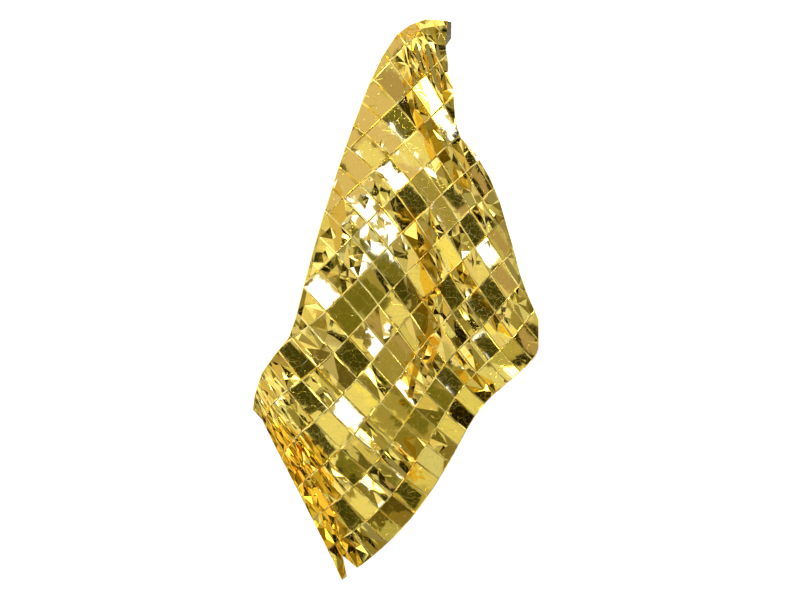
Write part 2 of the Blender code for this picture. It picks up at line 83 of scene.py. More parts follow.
# lines of the pressed grid, one row each: where it leaves the low hem, its ways there, half-way and at
# the far cell, in degrees, and how long a cell is at the hem and at the far cell
farCell = 12
creaseColumns = ("cell", "hemX", "hemY", "wayHem", "wayMid", "wayFar", "lenHem", "lenFar")
creases = (
    (0, -0.178, -0.925, 114, 114, 89, 0.112, 0.109),
    (4, 0.021, -0.754, 139, 121, 74, 0.098, 0.199),
    (8, 0.177, -0.534, 143, 132, 137, 0.093, 0.151),
    (12, 0.294, -0.342, 140, 128, 181, 0.090, 0.126),
    (16, 0.450, -0.197, 134, 124, 172, 0.098, 0.112),
    (20, 0.592, -0.008, 135, 120, 130, 0.083, 0.128),
    (24, 0.787, 0.105, 168, 112, 142, 0.087, 0.143),
)

# outline where the sheet turns under, from the lower left up to the crown
leftFold = (
    (-0.470, -0.363),
    (-0.464, -0.317),
    (-0.441, -0.244),
    (-0.398, -0.182),
    (-0.351, -0.125),
    (-0.328, -0.059),
    (-0.305, 0.033),
    (-0.266, 0.178),
    (-0.233, 0.290),
    (-0.190, 0.429),
    (-0.144, 0.561),
    (-0.091, 0.700),
    (-0.045, 0.799),
    (0.002, 0.871),
    (0.045, 0.904),
    (0.101, 0.924),
    (0.172, 0.919),
)
# free edge of the hood
mouth = (
    (0.172, 0.919),
    (0.167, 0.865),
    (0.165, 0.825),
    (0.172, 0.785),
    (0.172, 0.742),
    (0.186, 0.706),
)
# outline where the right side turns under
rightFold = (
    (0.186, 0.706),
    (0.196, 0.587),
    (0.213, 0.535),
    (0.262, 0.482),
    (0.309, 0.403),
    (0.342, 0.323),
    (0.365, 0.244),
    (0.388, 0.165),
    (0.408, 0.086),
    (0.427, 0.033),
    (0.450, -0.020),
    (0.470, -0.066),
    (0.470, -0.158),
)
# far edge of the lower layers
innerEdge = (
    (-0.120, -0.745),
    (-0.020, -0.715),
    (0.080, -0.590),
    (0.160, -0.440),
    (0.225, -0.310),
    (0.330, -0.200),
    (0.395, -0.110),
    (0.375, 0.030),
    (0.335, 0.175),
    (0.285, 0.315),
    (0.225, 0.425),
    (0.165, 0.510),
    (0.145, 0.610),
    (0.135, 0.700),
    (0.130, 0.790),
    (0.183, 0.863),
    (0.184, 0.917),
)

# main folds: x and y of both ends, half width, height, which is negative for a trough
folds = (
    (-0.010, 0.800, -0.120, 0.560, 0.050, 0.009),
    (-0.120, 0.560, -0.250, 0.260, 0.055, 0.007),
    (-0.020, 0.500, -0.060, 0.330, 0.022, -0.011),
    (-0.060, 0.330, 0.005, 0.120, 0.024, -0.009),
    (0.030, 0.780, 0.080, 0.610, 0.026, 0.013),
    (0.080, 0.610, 0.170, 0.390, 0.026, 0.012),
    (0.100, 0.330, 0.135, 0.230, 0.022, -0.009),
    (0.120, 0.260, 0.160, 0.150, 0.019, -0.009),
    (0.150, 0.200, 0.150, 0.080, 0.019, -0.008),
    (0.135, 0.130, 0.172, 0.020, 0.021, -0.009),
    (0.165, 0.060, 0.140, -0.060, 0.019, -0.009),
    (0.125, 0.000, 0.125, -0.110, 0.019, -0.008),
    (0.132, -0.080, 0.090, -0.190, 0.021, -0.009),
    (0.095, -0.150, 0.060, -0.300, 0.019, -0.009),
    (0.215, 0.500, 0.340, 0.220, 0.030, 0.009),
    (0.245, 0.280, 0.405, 0.010, 0.034, 0.008),
    (0.090, 0.290, 0.200, 0.030, 0.034, 0.007),
    (-0.220, -0.090, -0.150, 0.230, 0.060, 0.005),
    (-0.410, -0.250, 0.020, -0.690, 0.022, 0.009),
    (-0.330, -0.170, 0.110, -0.620, 0.020, 0.006),
    (-0.220, -0.320, 0.130, -0.660, 0.018, 0.008),
    (-0.120, -0.180, 0.150, -0.520, 0.020, 0.005),
    (0.000, -0.040, 0.240, -0.390, 0.022, 0.005),
    (0.110, 0.000, 0.350, -0.310, 0.022, 0.008),
    (0.210, -0.010, 0.410, -0.250, 0.020, 0.007),
    (-0.440, -0.300, -0.170, -0.760, 0.020, 0.009),
    (-0.440, -0.360, -0.290, -0.600, 0.016, 0.008),
    (-0.400, -0.330, -0.060, -0.770, 0.020, 0.009),
    (0.020, 0.860, 0.060, 0.700, 0.009, 0.009),
    (0.050, 0.865, 0.105, 0.670, 0.009, 0.010),
    (0.085, 0.860, 0.140, 0.670, 0.010, 0.010),
    (0.125, 0.840, 0.155, 0.700, 0.009, 0.009),
    (0.060, 0.770, 0.160, 0.640, 0.011, 0.009),
    (0.010, 0.880, 0.160, 0.905, 0.024, 0.009),
)
# how much wider a fold's easy side is, and how it dies out at its ends, as shares of its length
foldEnds = {"easySide": 1.6, "past": 0.10, "fade": 0.22, "linePast": 0.06}

# the pressed cells: how high their crossings lie, their own tilts, and the narrow ridge of each crease
cells = {
    "cross": 0.0010,
    "alternate": 0.0005,
    "tiltU": 0.0036,
    "tiltV": 0.0052,
    "puff": 0.0016,
    "fanShare": 0.12,
    "busyShare": 0.55,
    "creaseWide": 0.0033,
    "ridge": 0.0020,
    "lean": 0.35,  # share of the folds' slope that a flat cell takes
    "hemTilt": 1.2,
}
# quiet areas, where the film is drawn smooth: x, y, radius, share of the relief that is left
calms = (
    (0.000, 0.850, 0.045, 0.15),
    (-0.015, 0.790, 0.080, 0.18),
    (-0.060, 0.660, 0.090, 0.08),
    (-0.110, 0.530, 0.095, 0.07),
    (-0.160, 0.400, 0.085, 0.10),
    (-0.205, 0.290, 0.060, 0.20),
    (0.090, 0.780, 0.070, 0.45),
    (0.205, 0.500, 0.025, 0.30),
    (0.290, 0.360, 0.028, 0.30),
    (0.355, 0.220, 0.028, 0.30),
    (0.405, 0.080, 0.028, 0.30),
)
# areas where most cells are broken into a fan of facets: x, y, radius
busyAreas = (
    (-0.340, -0.560, 0.150),
    (-0.230, -0.780, 0.120),
    (0.270, 0.200, 0.190),
    (-0.170, 0.200, 0.170),
)
# cells that lie quite flat, by their cell numbers, and what they mirror
flatCells = {
    "white": ((19, 8), (19, 7), (16, 7), (9, 6), (14, 1), (17, 3), (6, 3)),
    "glint": ((15, 7), (13, 7), (13, 6), (12, 6)),
    "gold": (
        (20, 10),
        (19, 10),
        (18, 10),
        (17, 9),
        (16, 9),
        (15, 9),
        (16, 8),
        (15, 8),
        (14, 8),
        (13, 8),
        (12, 8),
    ),
    "yellow": ((7, 3), (7, 2), (15, 4)),
    "pale": ((5, 4), (5, 3), (3, 1), (13, 4), (11, 4), (17, 7), (15, 2)),
    "brown": ((18, 9), (19, 5), (18, 3), (17, 2), (16, 0), (17, 5), (10, 3), (16, 5)),
    "tan": ((9, 3), (8, 1), (8, 2), (11, 5), (16, 6)),
    "olive": ((17, 8), (10, 5), (4, 2), (10, 1), (12, 5), (9, 5)),
    "dark": ((15, 6), (8, 4), (6, 5), (4, 3), (14, 3), (16, 2), (17, 4), (2, 1), (11, 1), (5, 0)),
}
# cells of the low hem that lie flat as well, each at a tilt of its own
hemCells = (3, 4, 6, 7, 9, 10, 11, 13, 14, 15, 17)
# crumpled areas: x, y, radius, slope of the facets, smallest facet
crumples = (
    (-0.330, -0.580, 0.130, 0.15, 0.044),
    (-0.230, -0.780, 0.110, 0.15, 0.044),
    (-0.400, -0.330, 0.080, 0.08, 0.044),
    (0.270, 0.200, 0.190, 0.05, 0.044),
    (-0.170, 0.200, 0.170, 0.05, 0.044),
    (0.090, 0.760, 0.080, 0.06, 0.030),
)
# the rest of the film, and the lengths that edges are broken at, one after the other; only a steep
# place breaks on the creases too
crumple = {"slope": 0.009, "finest": 0.044, "breaks": (0.045, 0.030), "slack": 1.15, "steep": 0.12}
# narrow pleats along the long creases: height at the low hem and at the left, where they gather
pleats = {
    "spacing": 0.85,  # in cells, as the reaches are
    "hem": 0.0012,
    "hemReach": 3.6,
    "gather": 0.0080,
    "gatherReach": 5.5,
    "gatherFrom": 1.5,
    "gatherGrow": 2.5,
    "gatherFar": 9,
    "gatherTop": -0.10,  # places on the floor plan
    "gatherFoot": -0.64,
    "fade": 0.20,
}


def columnOf(rows, names, name):
    return np.array([row[names.index(name)] for row in rows], dtype=float)


def smoothStep(t):
    t = np.clip(t, 0, 1)
    return t * t * (3 - 2 * t)


def splineThrough(knots, values, at):
    # natural cubic curve through a few table rows
    count = len(knots)
    gaps = np.diff(knots)
    system = np.eye(count)
    rhs = np.zeros(count)
    for i in range(1, count - 1):
        system[i, i - 1 : i + 2] = gaps[i - 1], 2 * (gaps[i - 1] + gaps[i]), gaps[i]
        rhs[i] = 6 * ((values[i + 1] - values[i]) / gaps[i] - (values[i] - values[i - 1]) / gaps[i - 1])
    bend = np.linalg.solve(system, rhs)
    i = np.clip(np.searchsorted(knots, at) - 1, 0, count - 2)
    gap = gaps[i]
    a = (knots[i + 1] - at) / gap
    b = 1 - a
    curve = (a**3 - a) * bend[i] + (b**3 - b) * bend[i + 1]
    return a * values[i] + b * values[i + 1] + curve * gap**2 / 6


def creasePlan(u, v):
    # where the sheet's own cell numbers come to lie on the floor plan
    knots = columnOf(creases, creaseColumns, "cell")
    x, y, hem, mid, far, nearLen, farLen = (
        splineThrough(knots, columnOf(creases, creaseColumns, name), u) for name in creaseColumns[1:]
    )
    steps = 24
    for k in range(steps):
        s = v * (k + 0.5) / steps / farCell
        way = np.radians(hem * (1 - s) * (1 - 2 * s) + mid * 4 * s * (1 - s) + far * s * (2 * s - 1))
        pace = (nearLen + (farLen - nearLen) * s) * v / steps
        x = x + pace * np.cos(way)
        y = y + pace * np.sin(way)
    return x, y


def nearestOn(line, x, y):
    # distance to a polyline, and how far along it the closest point is
    line = np.array(line)
    legs = np.diff(line, axis=0)
    sizes = np.hypot(legs[:, 0], legs[:, 1])
    starts = np.concatenate([[0], np.cumsum(sizes)])
    best = np.full(np.shape(x), 1e9)
    along = np.zeros_like(best)
    for a, leg, size, start in zip(line[:-1], legs, sizes, starts):
        t = np.clip(((x - a[0]) * leg[0] + (y - a[1]) * leg[1]) / size**2, 0, 1)
        qx, qy = a[0] + t * leg[0], a[1] + t * leg[1]
        far = np.hypot(x - qx, y - qy)
        closer = far < best
        best = np.where(closer, far, best)
        along = np.where(closer, (start + t * size) / starts[-1], along)
    return best, along


def insideOf(line, x, y):
    odd = np.zeros(np.shape(x), dtype=bool)
    for (ax, ay), (bx, by) in zip(line, np.roll(np.array(line), -1, axis=0)):
        if ay != by:
            odd ^= ((ay > y) != (by > y)) & (x < ax + (y - ay) * (bx - ax) / (by - ay))
    return odd


def alongLine(line, share):
    line = np.array(line)
    sizes = np.hypot(*np.diff(line, axis=0).T)
    starts = np.concatenate([[0], np.cumsum(sizes)]) / sizes.sum()
    return np.interp(share, starts, line[:, 0]), np.interp(share, starts, line[:, 1])


turnedLine = leftFold + mouth[1:] + rightFold[1:]
offSheet = ((0.470, -0.260), (0.900, -0.300), (0.900, -1.500), (-0.900, -1.500), (-0.560, -0.395))
keepLine = turnedLine + offSheet
footprint = leftFold + innerEdge[::-1]
hemLow = tuple(zip(*creasePlan(np.arange(blanket["hemEnd"] + 1.0), np.zeros(blanket["hemEnd"] + 1))))
hemLeft = tuple(zip(*creasePlan(np.zeros(blanket["leftEnd"] + 1), np.arange(blanket["leftEnd"] + 1.0))))


def cellNet():
    # heights of the pressed cells: shared crossings and half-way points, and each cell's own inner facets
    draw = np.random.RandomState(blanket["seed"])
    cols, rows = blanket["shownU"] + 3, blanket["shownV"] + 3
    shape = (cols, rows)
    cross = draw.uniform(-1, 1, shape) * cells["cross"]
    cross += cells["alternate"] * (-1) ** np.add.outer(np.arange(cols), np.arange(rows))
    tiltU, tiltV = draw.normal(0, cells["tiltU"], shape), draw.normal(0, cells["tiltV"], shape)
    inner = {}
    for a in (0, 1):
        for b in (0, 1):
            near = np.roll(cross, (-a, -b), axis=(0, 1))
            inner[a, b] = near + (a - 0.5) * tiltU + (b - 0.5) * tiltV
    lowAt, leftAt = draw.uniform(0.3, 0.7, shape), draw.uniform(0.3, 0.7, shape)
    highAt, rightAt = np.roll(lowAt, -1, axis=1), np.roll(leftAt, -1, axis=0)
    midX, midY = creasePlan(*(np.indices(shape) + 0.5))
    busy = np.zeros(shape, dtype=bool)
    for x, y, radius in busyAreas:
        busy |= np.hypot(midX - x, midY - y) < radius
    fan = draw.uniform(0, 1, shape) < np.where(busy, cells["busyShare"], cells["fanShare"])
    rough = np.where(fan, cells["puff"], 0) * np.where(busy, 2.0, 1.0)
    mid = {
        "low": inner[0, 0] + (inner[1, 0] - inner[0, 0]) * lowAt,
        "high": inner[0, 1] + (inner[1, 1] - inner[0, 1]) * highAt,
        "left": inner[0, 0] + (inner[0, 1] - inner[0, 0]) * leftAt,
        "right": inner[1, 0] + (inner[1, 1] - inner[1, 0]) * rightAt,
    }
    mid = {name: z + draw.uniform(-1, 1, shape) * rough for name, z in mid.items()}
    centreAt = draw.uniform(0.3, 0.7, shape)
    falling = draw.uniform(0, 1, shape) < 0.5
    cx, cy = centreAt, np.where(falling, 1 - centreAt, centreAt)
    rising = inner[0, 0] + (inner[1, 1] - inner[0, 0]) * centreAt
    slanting = inner[0, 1] + (inner[1, 0] - inner[0, 1]) * centreAt
    cz = np.where(falling, slanting, rising) + draw.uniform(-0.6, 1.4, shape) * rough
    crest = sum(np.roll(inner[a, b], (a, b), axis=(0, 1)) for a in (0, 1) for b in (0, 1)) / 4
    crest = crest + draw.uniform(0, 1, shape) * cells["ridge"]
    lowZ = (mid["low"] + np.roll(mid["high"], 1, axis=1)) / 2
    lowZ = lowZ + draw.uniform(-0.5, 1, shape) * cells["ridge"]
    leftZ = (mid["left"] + np.roll(mid["right"], 1, axis=0)) / 2
    leftZ = leftZ + draw.uniform(-0.5, 1, shape) * cells["ridge"]
    return {
        "inner": inner,
        "mid": mid,
        "lowAt": lowAt,
        "leftAt": leftAt,
        "centre": (cx, cy, cz),
        "crest": crest,
        "lowZ": lowZ,
        "leftZ": leftZ,
        "flat": flatPlanes(shape, inner),
        "whole": wholeCells(shape),
    }


def sideHeight(s, at, first, mid, last):
    # height along one side of a cell, broken at one point
    return np.where(s < at, first + (mid - first) * s / at, mid + (last - mid) * (s - at) / (1 - at))


def rimShare(u, v):
    # 0 on a crease, 1 inside a cell, with the place inside the cell
    wideU, wideV = cells["creaseWide"] / blanket["cellU"], cells["creaseWide"] / blanket["cellV"]
    fu, fv = u - np.floor(u), v - np.floor(v)
    gaps = np.array([fv / wideV, (1 - fv) / wideV, fu / wideU, (1 - fu) / wideU])
    su = np.clip((fu - wideU) / (1 - 2 * wideU), 0, 1)
    sv = np.clip((fv - wideV) / (1 - 2 * wideV), 0, 1)
    return np.clip(gaps.min(axis=0), 0, 1), gaps.argmin(axis=0), su, sv


def cellRelief(u, v, net):
    cols, rows = net["crest"].shape
    i = np.clip(np.floor(u).astype(int), 0, cols - 2)
    j = np.clip(np.floor(v).astype(int), 0, rows - 2)
    rim, side, su, sv = rimShare(u, v)
    inner = {key: z[i, j] for key, z in net["inner"].items()}
    mid = {key: z[i, j] for key, z in net["mid"].items()}
    lowAt, highAt = net["lowAt"][i, j], net["lowAt"][i, j + 1]
    leftAt, rightAt = net["leftAt"][i, j], net["leftAt"][i + 1, j]
    crest, lowZ, leftZ = net["crest"], net["lowZ"], net["leftZ"]
    within = (
        sideHeight(su, lowAt, inner[0, 0], mid["low"], inner[1, 0]),
        sideHeight(su, highAt, inner[0, 1], mid["high"], inner[1, 1]),
        sideHeight(sv, leftAt, inner[0, 0], mid["left"], inner[0, 1]),
        sideHeight(sv, rightAt, inner[1, 0], mid["right"], inner[1, 1]),
    )
    creases = (
        sideHeight(su, lowAt, crest[i, j], lowZ[i, j], crest[i + 1, j]),
        sideHeight(su, highAt, crest[i, j + 1], lowZ[i, j + 1], crest[i + 1, j + 1]),
        sideHeight(sv, leftAt, crest[i, j], leftZ[i, j], crest[i, j + 1]),
        sideHeight(sv, rightAt, crest[i + 1, j], leftZ[i + 1, j], crest[i + 1, j + 1]),
    )
    height = np.choose(side, creases) * (1 - rim) + np.choose(side, within) * rim
    cx, cy, cz = (part[i, j] for part in net["centre"])
    zero, one = np.zeros_like(su), np.ones_like(su)
    ring = (
        (zero, zero, inner[0, 0]),
        (lowAt, zero, mid["low"]),
        (one, zero, inner[1, 0]),
        (one, rightAt, mid["right"]),
        (one, one, inner[1, 1]),
        (highAt, one, mid["high"]),
        (zero, one, inner[0, 1]),
        (zero, leftAt, mid["left"]),
    )
    for k, (ax, ay, az) in enumerate(ring):
        bx, by, bz = ring[(k + 1) % 8]
        whole = (ax - cx) * (by - cy) - (bx - cx) * (ay - cy)
        wa = ((su - cx) * (by - cy) - (bx - cx) * (sv - cy)) / whole
        wb = ((ax - cx) * (sv - cy) - (su - cx) * (ay - cy)) / whole
        here = (wa >= -1e-6) & (wb >= -1e-6) & (rim >= 1)
        height = np.where(here, cz + wa * (az - cz) + wb * (bz - cz), height)
    return height


def calmShare(x, y):
    share = np.ones_like(x)
    for cx, cy, radius, left in calms:
        near = smoothStep(1.5 - np.hypot(x - cx, y - cy) / radius)
        share = np.minimum(share, 1 - (1 - left) * near)
    return share


def crumpleAt(x, y):
    # slope and smallest size of the little facets, calmer along the low hem
    slope, finest = np.full_like(x, crumple["slope"]), np.full_like(x, crumple["finest"])
    for cx, cy, radius, steep, small in crumples:
        near = smoothStep((1.25 - np.hypot(x - cx, y - cy) / radius) / 0.5)
        slope = np.maximum(slope, steep * near)
        finest = np.minimum(finest, crumple["finest"] + (small - crumple["finest"]) * near)
    hem = np.clip(slopes["hemCrumpleLeft"] + nearestOn(hemLow, x, y)[0] / slopes["hemCrumple"], 0, 1)
    return slope * calmShare(x, y) * hem, finest


def pleatStops():
    # where the pleats break, in cell numbers, and how high each one stands
    draw = np.random.RandomState(blanket["seed"] + 3)
    count = int(blanket["shownU"] / pleats["spacing"]) + 3
    stops = (np.arange(count) + draw.uniform(-0.3, 0.3, count)) * pleats["spacing"]
    return stops, draw.uniform(0.35, 1.0, count) * (-1) ** np.arange(count)


def pleatRelief(u, v, y):
    # uneven zigzag across the long creases
    hem = pleats["hem"] * smoothStep(1 - v / pleats["hemReach"])
    gather = pleats["gather"] * smoothStep(1 - u / pleats["gatherReach"])
    gather = gather * smoothStep((v - pleats["gatherFrom"]) / pleats["gatherGrow"])
    gather = gather * smoothStep((pleats["gatherTop"] - y) / pleats["fade"])
    gather = gather * (0.5 + 0.5 * smoothStep((y - pleats["gatherFoot"]) / pleats["fade"]))
    return np.interp(u, *pleatStops()) * np.maximum(hem, gather)


def pleatLines():
    # the lines that the pleats break along, as pairs of cell numbers
    lines = []
    for u in pleatStops()[0]:
        far = pleats["gatherFar"] if u < pleats["gatherReach"] else math.ceil(pleats["hemReach"])
        lines += [((u, v), (u, v + 1)) for v in range(far) if 0 < u < blanket["hemEnd"]]
    return np.array(lines, dtype=float)


def foldRelief(x, y):
    # main ridges and troughs, each with a steep and an easy side
    z = np.zeros_like(x)
    for x0, y0, x1, y1, half, height in folds:
        dx, dy = x1 - x0, y1 - y0
        size = np.hypot(dx, dy)
        t = ((x - x0) * dx + (y - y0) * dy) / size**2
        off = ((x - x0) * dy - (y - y0) * dx) / size
        width = np.where(off > 0, half, half * foldEnds["easySide"])
        crest = np.clip(1 - np.abs(off) / width, 0, 1)
        ends = smoothStep((t + foldEnds["past"]) / foldEnds["fade"])
        ends = ends * smoothStep((1 + foldEnds["past"] - t) / foldEnds["fade"])
        z = z + height * crest * ends
    return z


def layerHeight(x, y):
    # height of the upper layer without its relief, and how free it is of its edges
    right = nearestOn(rightFold, x, y)[0]
    turn = np.minimum(nearestOn(leftFold, x, y)[0], right)
    onLayers = insideOf(footprint, x, y) | (right < slopes["onFlap"]) | (turn < slopes["onTurn"])
    gap = np.where(onLayers, 0, nearestOn(leftFold[:1] + innerEdge, x, y)[0])
    over = 1 - smoothStep((gap - slopes["overFrom"]) / slopes["over"])
    ground = blanket["floorZ"] + (blanket["edgeZ"] - blanket["floorZ"]) * over
    hem = np.minimum(nearestOn(hemLow, x, y)[0], nearestOn(hemLeft, x, y)[0])
    lift = blanket["lift"] * smoothStep(turn / slopes["turnLift"])
    lift = lift * np.clip(slopes["hemLiftLeft"] + hem / slopes["hemLift"], 0, 1)
    lift = lift * smoothStep(slopes["mouthLiftLeft"] + nearestOn(mouth, x, y)[0] / slopes["mouthLift"])
    ease = smoothStep(turn / slopes["turnRelief"])
    ease = ease * np.clip(slopes["hemReliefLeft"] + hem / slopes["hemRelief"], 0, 1)
    return ground, lift, ease


def flatPlanes(shape, inner):
    # the plane of each flat cell, through the folds at its corners: middle height, rise and lean;
    # cells along the low hem have their own tilt as well
    named = [pair for group in flatCells.values() for pair in group]
    i, j = np.array(named + [(k, 0) for k in hemCells]).T
    onHem = np.arange(len(i)) >= len(named)
    corners = []
    for a, b in ((0, 0), (1, 0), (0, 1), (1, 1)):
        x, y = creasePlan(i + a, j + b)
        ground, lift, ease = layerHeight(x, y)
        tilt = inner[a, b][i, j] * onHem * cells["hemTilt"]
        corners.append(ground + lift + (foldRelief(x, y) + tilt) * ease)
    low, right, left, high = corners
    share = np.where(onHem, 1, cells["lean"])
    planes = np.full((3,) + shape, np.nan)
    planes[0, i, j] = (low + right + left + high) / 4
    planes[1, i, j] = (right + high - low - left) / 2 * share
    planes[2, i, j] = (left + high - low - right) / 2 * share
    return planes


def wholeCells(shape):
    # flat cells that the crumpling leaves alone
    whole = np.zeros(shape, bool)
    whole[list(hemCells), 0] = True
    for tone, group in flatCells.items():
        if tone != "glint":
            whole[tuple(np.array(group).T)] = True
    return whole


def cellAt(u, v, table):
    # row and column of the cell each place lies in
    i = np.clip(np.floor(u).astype(int), 0, table.shape[0] - 1)
    j = np.clip(np.floor(v).astype(int), 0, table.shape[1] - 1)
    return i, j


def levelCells(u, v, height, net):
    # flat cells take their plane in place of the height they would have
    middle, rise, lean = net["flat"]
    i, j = cellAt(u, v, middle)
    rim = rimShare(u, v)[0]
    plane = middle[i, j] + rise[i, j] * (u - i - 0.5) + lean[i, j] * (v - j - 0.5)
    return np.where(np.isnan(plane), height, height * (1 - rim) + plane * rim)


def upperHeight(u, v, x, y, net):
    ground, lift, ease = layerHeight(x, y)
    relief = foldRelief(x, y) + cellRelief(u, v, net) * calmShare(x, y) + pleatRelief(u, v, y)
    height = levelCells(u, v, ground + lift + relief * ease, net)
    return np.maximum(height, ground), ease


def cellPlace(x, y):
    # the sheet's own cell numbers at places on the floor plan, by a table look-up and a few corrections
    us, vs = (np.arange(-0.5, blanket[shown] + 0.6, 0.25) for shown in ("shownU", "shownV"))
    us, vs = (part.ravel() for part in np.meshgrid(us, vs))
    tx, ty = creasePlan(us, vs)
    u, v = np.zeros_like(x), np.zeros_like(x)
    batch = 500
    for start in range(0, len(x), batch):
        part = slice(start, start + batch)
        k = np.argmin((x[part, None] - tx) ** 2 + (y[part, None] - ty) ** 2, axis=1)
        u[part], v[part] = us[k], vs[k]
    for _ in range(5):
        fx, fy = creasePlan(u, v)
        ux, uy = creasePlan(u + 0.01, v)
        vx, vy = creasePlan(u, v + 0.01)
        a, b, c, d = (ux - fx) / 0.01, (vx - fx) / 0.01, (uy - fy) / 0.01, (vy - fy) / 0.01
        whole = a * d - b * c
        whole = np.where(np.abs(whole) < 1e-5, 1e-5, whole)
        u += np.clip(((x - fx) * d - (y - fy) * b) / whole, -0.5, 0.5)
        v += np.clip(((y - fy) * a - (x - fx) * c) / whole, -0.5, 0.5)
    return u, v


def cellLines(net):
    # every line that the pressed cells break along, as pairs of cell numbers
    lowAt, leftAt = net["lowAt"], net["leftAt"]
    cx, cy, _ = net["centre"]
    wideU, wideV = cells["creaseWide"] / blanket["cellU"], cells["creaseWide"] / blanket["cellV"]
    lines = []
    for i in range(blanket["shownU"]):
        for j in range(blanket["shownV"]):
            ring = (
                (0, 0),
                (lowAt[i, j], 0),
                (1, 0),
                (1, leftAt[i + 1, j]),
                (1, 1),
                (lowAt[i, j + 1], 1),
                (0, 1),
                (0, leftAt[i, j]),
            )
            outer = [(i + a, j + b) for a, b in ring]
            inside = [(i + wideU + a * (1 - 2 * wideU), j + wideV + b * (1 - 2 * wideV)) for a, b in ring]
            centre = (i + wideU + cx[i, j] * (1 - 2 * wideU), j + wideV + cy[i, j] * (1 - 2 * wideV))
            for k in range(8):
                lines.append((outer[k], outer[(k + 1) % 8]))
                lines.append((inside[k], inside[(k + 1) % 8]))
                lines.append((outer[k], inside[k]))
                lines.append((inside[k], centre))
    return np.array(lines, dtype=float)


def foldLines():
    # crest and feet of each main fold, as pairs of places
    lines = []
    for x0, y0, x1, y1, half, height in folds:
        dx, dy = x1 - x0, y1 - y0
        size = math.hypot(dx, dy)
        past = foldEnds["linePast"]
        for off in (0.0, half, -foldEnds["easySide"] * half):
            sx, sy = off * dy / size, -off * dx / size
            start = (x0 - past * dx + sx, y0 - past * dy + sy)
            lines.append((start, (x1 + past * dx + sx, y1 + past * dy + sy)))
    return np.array(lines)


def sheetLines(net):
    ends = np.concatenate([cellLines(net), pleatLines()])
    x, y = creasePlan(ends[:, :, 0].ravel(), ends[:, :, 1].ravel())
    return np.concatenate([np.stack([x, y], axis=1).reshape(-1, 2, 2), foldLines()])


def outlineLoop():
    # the whole outline of the upper layer, hems and nick included
    u = np.linspace(0, blanket["hemEnd"], blanket["hemEnd"] * 3 + 1)
    nick = np.clip(1 - np.abs(u - blanket["notchAt"]) / blanket["notchHalf"], 0, 1)
    hem = list(zip(*creasePlan(u, blanket["notchDeep"] * nick)))
    v = np.linspace(0, blanket["leftEnd"] - 0.1, blanket["leftEnd"] * 2 + 1)
    side = list(zip(*creasePlan(np.zeros_like(v), v)))
    hem = [p for p in hem if insideOf(keepLine, np.array([p[0]]), np.array([p[1]]))[0]]
    side = [p for p in side if insideOf(keepLine, np.array([p[0]]), np.array([p[1]]))[0]]
    ring = [p for line in (leftFold, mouth[1:], rightFold[1:]) for p in line]
    return ring + hem[::-1] + side[1:]


def layFacets(net):
    # a triangulation that keeps every line, cut to the outline
    loop = np.array(outlineLoop())
    fine = []
    for a, b in zip(loop, np.roll(loop, -1, axis=0)):
        parts = max(1, int(np.hypot(*(b - a)) / blanket["outlineStep"]))
        fine += [a + (b - a) * k / parts for k in range(parts)]
    lines = sheetLines(net)
    middle = lines.mean(axis=1)
    margin = 0.15
    near = (middle > loop.min(axis=0) - margin) & (middle < loop.max(axis=0) + margin)
    lines = lines[near.all(axis=1)]
    points = [Vector(p) for p in fine]
    edges = [(k, (k + 1) % len(fine)) for k in range(len(fine))]
    spots = {}
    for pair in lines:
        ends = []
        for p in pair:
            key = (round(p[0], 5), round(p[1], 5))
            if key not in spots:
                spots[key] = len(points)
                points.append(Vector(p))
            ends.append(spots[key])
        edges.append(tuple(ends))
    made = delaunay_2d_cdt(points, edges, [], 0, blanket["weld"])
    flat = np.array([p[:] for p in made[0]])
    centre = np.array([flat[list(f)].mean(axis=0) for f in made[2]])
    keep = insideOf(loop, centre[:, 0], centre[:, 1])
    return flat, [f for f, k in zip(made[2], keep) if k]


def crumpleFilm(work, free, net):
    # long edges are broken again and again, each new point a little off, as handled film breaks;
    # flat cells stay whole, apart from the glints
    draw = np.random.RandomState(blanket["seed"] + 7)
    for longest in crumple["breaks"]:
        edges = [e for e in work.edges if e.calc_length() > longest and not e.is_boundary]
        ends = [[p.co for p in e.verts] for e in edges]
        x, y = (np.array([(a[k] + b[k]) / 2 for a, b in ends]) for k in (0, 1))
        slope, finest = crumpleAt(x, y)
        u, v = cellPlace(x, y)
        rim = rimShare(u, v)[0]
        loose = ~net["whole"][cellAt(u, v, net["whole"])]
        fine = (finest < longest * crumple["slack"]) & ((rim > 0.99) | (slope > crumple["steep"])) & loose
        chosen = [k for k in range(len(edges)) if fine[k]]
        heights = {}
        for k in chosen:
            e = edges[k]
            ease = (e.verts[0][free] + e.verts[1][free]) / 2
            place = tuple(np.round((e.verts[0].co + e.verts[1].co) / 2, 6))
            heights[place] = slope[k] * e.calc_length() * ease * draw.uniform(-0.5, 0.5)
        made = bmesh.ops.subdivide_edges(work, edges=[edges[k] for k in chosen], cuts=1)
        for p in made["geom_inner"]:
            if isinstance(p, bmesh.types.BMVert):
                p.co.z += heights.get(tuple(np.round(p.co, 6)), 0)
        bmesh.ops.triangulate(work, faces=[f for f in work.faces if len(f.verts) > 3])


def edgeRun(work, line):
    # the open edges that lie on a line
    rim = [e for e in work.edges if e.is_boundary]
    ends = np.array([[(p.co.x, p.co.y) for p in e.verts] for e in rim])
    far = nearestOn(line, ends[:, :, 0], ends[:, :, 1])[0].max(axis=1)
    return [e for e, d in zip(rim, far) if d < 0.0012]


